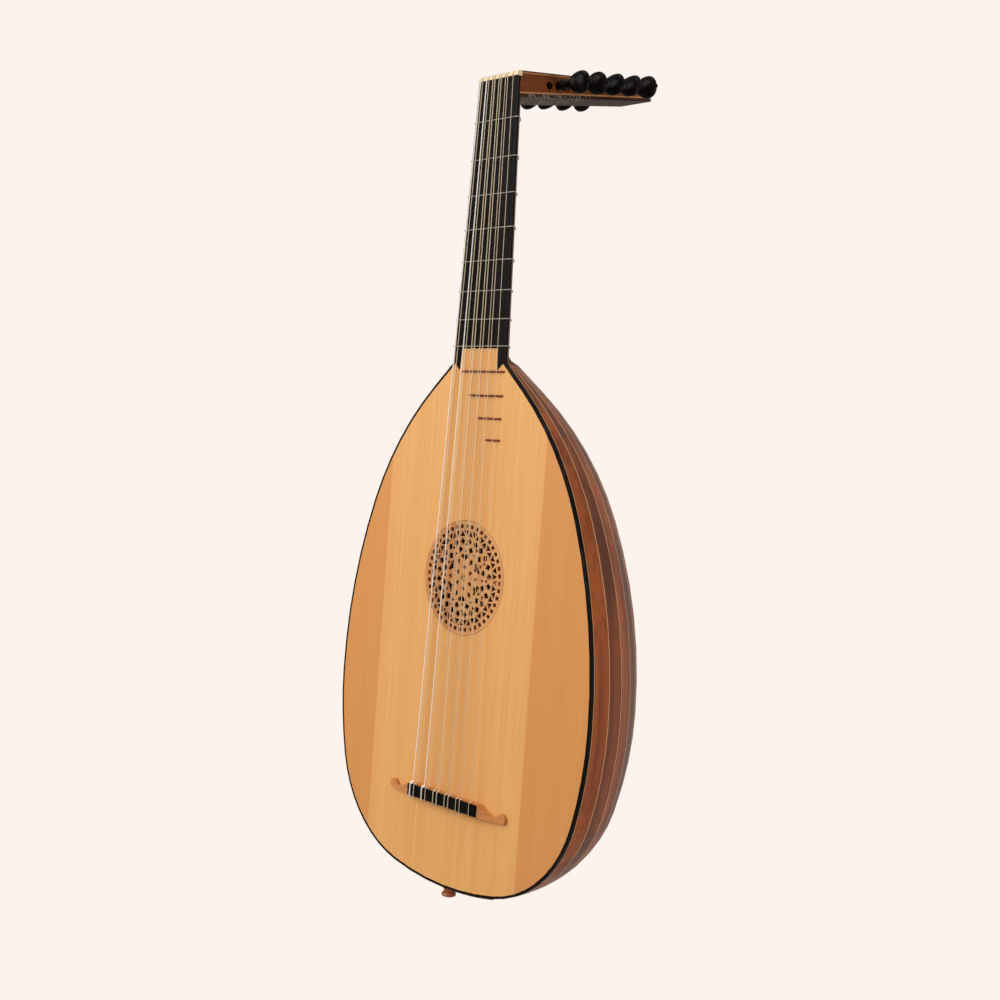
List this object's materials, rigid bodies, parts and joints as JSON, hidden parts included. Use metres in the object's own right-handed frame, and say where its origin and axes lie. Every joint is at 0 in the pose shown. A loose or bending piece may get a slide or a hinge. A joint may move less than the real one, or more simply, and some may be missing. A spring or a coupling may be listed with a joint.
{
  "type": "renaissance lute",
  "caption": "Plucked lute with a ribbed pear-shaped bowl, pierced rose, tied gut frets, bent-back pegbox with turning pegs, and gut strings in courses.",
  "frame": {"origin": "centre of the end button's flat outer face", "axes": "+Z from the tail along the strings to the nut, -Y the way the soundboard faces, +X the treble side"},
  "size_m": [0.3074, 0.1835, 0.7233],
  "materials": {
    "spruce": "thin varnish over straight-grained spruce",
    "rose_wood": "spruce of the soundboard, stained darker",
    "walnut": "red-brown varnished hardwood",
    "neck_wood": "dark brown hardwood",
    "plum": "oiled fruitwood",
    "ebony": "polished black wood",
    "bone": "polished bone",
    "gut": "gut cord",
    "fret_wood": "dark red-brown hardwood"
  },
  "bodies": {
    "lute": {"soundboard": "spruce", "rose": "rose_wood", "edging": "ebony", "bowl": "walnut", "liner_bass": "spruce", "liner_treble": "spruce", "neck_block": "spruce", "end_block": "spruce", "end_clasp": "walnut", "end_button": "plum", "neck": "neck_wood", "fingerboard": "ebony", "nut": "bone", "pegbox_block": "neck_wood", "cheek_bass": "walnut", "cheek_treble": "walnut", "pegbox_back": "walnut", "pegbox_end": "walnut", "bridge": "plum", "bridge_cap": "ebony", "bar_1": "spruce", "bar_2": "spruce", "bar_3": "spruce", "bar_4": "spruce", "bar_5": "spruce", "bar_6": "spruce", "string_01": "gut", "string_02": "gut", "string_03": "gut", "string_04": "gut", "string_05": "gut", "string_06": "gut", "string_07": "gut", "string_08": "gut", "string_09": "gut", "string_10": "gut", "string_11": "gut", "body_fret_9": "fret_wood", "body_fret_10": "fret_wood", "body_fret_11": "fret_wood", "body_fret_12": "fret_wood"},
    "peg_01": {"peg_01": "ebony"},
    "peg_02": {"peg_02": "ebony"},
    "peg_03": {"peg_03": "ebony"},
    "peg_04": {"peg_04": "ebony"},
    "peg_05": {"peg_05": "ebony"},
    "peg_06": {"peg_06": "ebony"},
    "peg_07": {"peg_07": "ebony"},
    "peg_08": {"peg_08": "ebony"},
    "peg_09": {"peg_09": "ebony"},
    "peg_10": {"peg_10": "ebony"},
    "peg_11": {"peg_11": "ebony"},
    "fret_1": {"fret_1": "gut"},
    "fret_2": {"fret_2": "gut"},
    "fret_3": {"fret_3": "gut"},
    "fret_4": {"fret_4": "gut"},
    "fret_5": {"fret_5": "gut"},
    "fret_6": {"fret_6": "gut"},
    "fret_7": {"fret_7": "gut"},
    "fret_8": {"fret_8": "gut"}
  },
  "joints": [
    {"name": "peg_01_turn", "type": "hinge", "parent": "lute", "child": "peg_01", "pos_m": [0, 0.028, 0.69025], "axis": [1, 0, 0], "continuous": true},
    {"name": "peg_02_turn", "type": "hinge", "parent": "lute", "child": "peg_02", "pos_m": [0, 0.039, 0.6923], "axis": [1, 0, 0], "continuous": true},
    {"name": "peg_03_turn", "type": "hinge", "parent": "lute", "child": "peg_03", "pos_m": [0, 0.05, 0.69435], "axis": [1, 0, 0], "continuous": true},
    {"name": "peg_04_turn", "type": "hinge", "parent": "lute", "child": "peg_04", "pos_m": [0, 0.061, 0.69641], "axis": [1, 0, 0], "continuous": true},
    {"name": "peg_05_turn", "type": "hinge", "parent": "lute", "child": "peg_05", "pos_m": [0, 0.072, 0.69846], "axis": [1, 0, 0], "continuous": true},
    {"name": "peg_06_turn", "type": "hinge", "parent": "lute", "child": "peg_06", "pos_m": [0, 0.083, 0.70051], "axis": [1, 0, 0], "continuous": true},
    {"name": "peg_07_turn", "type": "hinge", "parent": "lute", "child": "peg_07", "pos_m": [0, 0.094, 0.70256], "axis": [1, 0, 0], "continuous": true},
    {"name": "peg_08_turn", "type": "hinge", "parent": "lute", "child": "peg_08", "pos_m": [0, 0.105, 0.70461], "axis": [1, 0, 0], "continuous": true},
    {"name": "peg_09_turn", "type": "hinge", "parent": "lute", "child": "peg_09", "pos_m": [0, 0.116, 0.70666], "axis": [1, 0, 0], "continuous": true},
    {"name": "peg_10_turn", "type": "hinge", "parent": "lute", "child": "peg_10", "pos_m": [0, 0.127, 0.70871], "axis": [1, 0, 0], "continuous": true},
    {"name": "peg_11_turn", "type": "hinge", "parent": "lute", "child": "peg_11", "pos_m": [0, 0.138, 0.71076], "axis": [1, 0, 0], "continuous": true},
    {"name": "fret_1_slide", "type": "slide", "parent": "lute", "child": "fret_1", "axis": [0, 0, 1], "range_m": [-0.0025, 0.0025]},
    {"name": "fret_2_slide", "type": "slide", "parent": "lute", "child": "fret_2", "axis": [0, 0, 1], "range_m": [-0.0025, 0.0025]},
    {"name": "fret_3_slide", "type": "slide", "parent": "lute", "child": "fret_3", "axis": [0, 0, 1], "range_m": [-0.0025, 0.0025]},
    {"name": "fret_4_slide", "type": "slide", "parent": "lute", "child": "fret_4", "axis": [0, 0, 1], "range_m": [-0.0025, 0.0025]},
    {"name": "fret_5_slide", "type": "slide", "parent": "lute", "child": "fret_5", "axis": [0, 0, 1], "range_m": [-0.0025, 0.0025]},
    {"name": "fret_6_slide", "type": "slide", "parent": "lute", "child": "fret_6", "axis": [0, 0, 1], "range_m": [-0.0025, 0.0025]},
    {"name": "fret_7_slide", "type": "slide", "parent": "lute", "child": "fret_7", "axis": [0, 0, 1], "range_m": [-0.0025, 0.0025]},
    {"name": "fret_8_slide", "type": "slide", "parent": "lute", "child": "fret_8", "axis": [0, 0, 1], "range_m": [-0.0025, 0.0025]}
  ]
}
